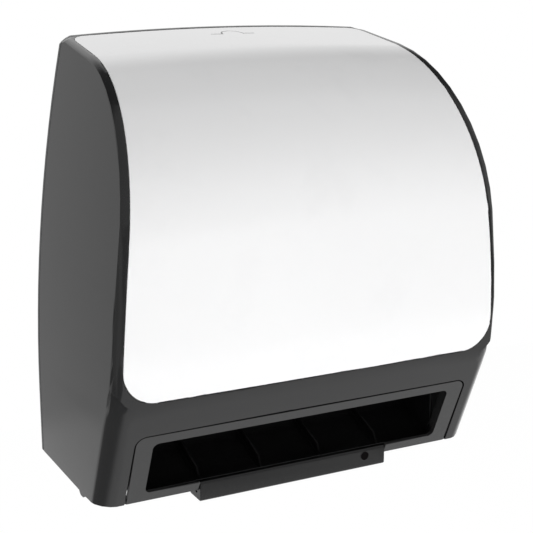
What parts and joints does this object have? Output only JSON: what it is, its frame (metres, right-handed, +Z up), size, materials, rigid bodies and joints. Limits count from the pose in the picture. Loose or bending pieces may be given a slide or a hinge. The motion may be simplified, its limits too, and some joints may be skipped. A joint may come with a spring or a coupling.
{
  "type": "automatic roll towel dispenser",
  "caption": "Touch-free wall dispenser for roll paper towels: graphite cover hinged at the bottom, gloss white front panel, wide mouth, sensor bar and a motor-driven feed roller inside",
  "frame": {"origin": "on the wall plane, midway between the four wall screws", "axes": "+X to the viewer's right, -Y out from the wall towards the viewer, +Z up"},
  "size_m": [0.296, 0.16, 0.3147],
  "materials": {
    "cover_graphite": "satin moulded graphite",
    "panel_white": "high gloss white",
    "housing_graphite": "fine textured graphite",
    "bezel_graphite": "satin graphite",
    "bar_graphite": "satin dark graphite",
    "lens_smoke": "polished dark lens",
    "chute_black": "matte black",
    "frame_black": "matte black",
    "steel": "ground",
    "blade_steel": "brushed strip",
    "roller_rubber": "ground rubber",
    "core_grey": "moulded grey",
    "acetal_white": "natural acetal",
    "motor_can": "plated can",
    "cell_wrap": "plain printed wrap",
    "contact_steel": "nickel plated",
    "board_green": "solder resist",
    "switch_black": "moulded black",
    "button_grey": "moulded light grey",
    "arm_grey": "moulded grey"
  },
  "bodies": {
    "housing": {"rear_housing": "housing_graphite", "lock_strike": "steel", "hinge_pins": "steel", "throat_bezel": "bezel_graphite", "paper_chute": "chute_black", "front_guide": "frame_black", "tear_blade": "blade_steel", "sensor_bar": "bar_graphite", "sensor_lens": "lens_smoke", "proximity_sensor": "lens_smoke", "sensor_board": "board_green", "drive_frame": "frame_black", "roller_bushes": "acetal_white", "motor_body": "motor_can", "battery_box": "frame_black", "battery_cells": "cell_wrap", "battery_contacts": "contact_steel", "control_board": "board_green", "feed_switch": "switch_black", "roll_arm_left": "arm_grey", "arm_foot_right": "arm_grey", "arm_pin": "steel"},
    "cover": {"cover_shell": "cover_graphite", "front_panel": "panel_white", "lock_guide": "frame_black"},
    "lock_bolt": {"lock_bolt": "acetal_white"},
    "feed_roller": {"feed_shaft": "steel", "feed_core": "core_grey", "feed_sleeves": "roller_rubber", "roller_gear": "acetal_white"},
    "idler": {"idler_gear": "acetal_white"},
    "pinion": {"motor_pinion": "acetal_white", "motor_shaft": "steel"},
    "pinch_carrier": {"pinch_carrier": "frame_black"},
    "pinch_roller": {"pinch_roller": "core_grey"},
    "battery_lid": {"battery_door": "arm_grey"},
    "feed_button": {"feed_button": "button_grey"},
    "right_arm": {"roll_arm_right": "arm_grey"},
    "left_hub": {"roll_hub_left": "arm_grey"},
    "right_hub": {"roll_hub_right": "arm_grey"}
  },
  "joints": [
    {"name": "cover_hinge", "type": "hinge", "parent": "housing", "child": "cover", "pos_m": [0, -0.089, -0.1835], "axis": [1, 0, 0], "range_deg": [0, 90]},
    {"name": "lock_slide", "type": "slide", "parent": "cover", "child": "lock_bolt", "axis": [0, 0, -1], "range_m": [0, 0.006]},
    {"name": "feed_roller_spin", "type": "hinge", "parent": "housing", "child": "feed_roller", "pos_m": [0, -0.10001, -0.103], "axis": [1, 0, 0], "continuous": true},
    {"name": "idler_spin", "type": "hinge", "parent": "housing", "child": "idler", "pos_m": [-0.127, -0.07728, -0.09259], "axis": [1, 0, 0], "continuous": true},
    {"name": "pinion_spin", "type": "hinge", "parent": "housing", "child": "pinion", "pos_m": [-0.129, -0.05171, -0.08088], "axis": [1, 0, 0], "continuous": true},
    {"name": "pinch_lift", "type": "hinge", "parent": "housing", "child": "pinch_carrier", "pos_m": [0, -0.1322, -0.074], "axis": [-1, 0, 0], "range_deg": [0, 6], "stiffness_Nm_per_rad": 1, "springref_deg": -17.19},
    {"name": "pinch_roller_spin", "type": "hinge", "parent": "pinch_carrier", "child": "pinch_roller", "pos_m": [0, -0.122, -0.095], "axis": [1, 0, 0], "continuous": true},
    {"name": "battery_door_hinge", "type": "hinge", "parent": "housing", "child": "battery_lid", "pos_m": [0, -0.009, -0.1459], "axis": [-1, 0, 0], "range_deg": [0, 85]},
    {"name": "feed_button_press", "type": "slide", "parent": "housing", "child": "feed_button", "axis": [0, 0, -1], "range_m": [0, 0.002], "stiffness_N_per_m": 400, "springref_m": -0.001},
    {"name": "right_arm_spread", "type": "hinge", "parent": "housing", "child": "right_arm", "pos_m": [0.1086, -0.011, 0.003], "axis": [0, 0, 1], "range_deg": [0, 12], "stiffness_Nm_per_rad": 2, "springref_deg": -8.59},
    {"name": "left_hub_spin", "type": "hinge", "parent": "housing", "child": "left_hub", "pos_m": [-0.1015, -0.08, 0.003], "axis": [1, 0, 0], "continuous": true},
    {"name": "right_hub_spin", "type": "hinge", "parent": "right_arm", "child": "right_hub", "pos_m": [0.1015, -0.08, 0.003], "axis": [1, 0, 0], "continuous": true}
  ],
  "couplings": [
    {"joint": "idler_spin", "follows": "feed_roller_spin", "ratio": -2.3333},
    {"joint": "pinion_spin", "follows": "feed_roller_spin", "ratio": 8.1667}
  ]
}
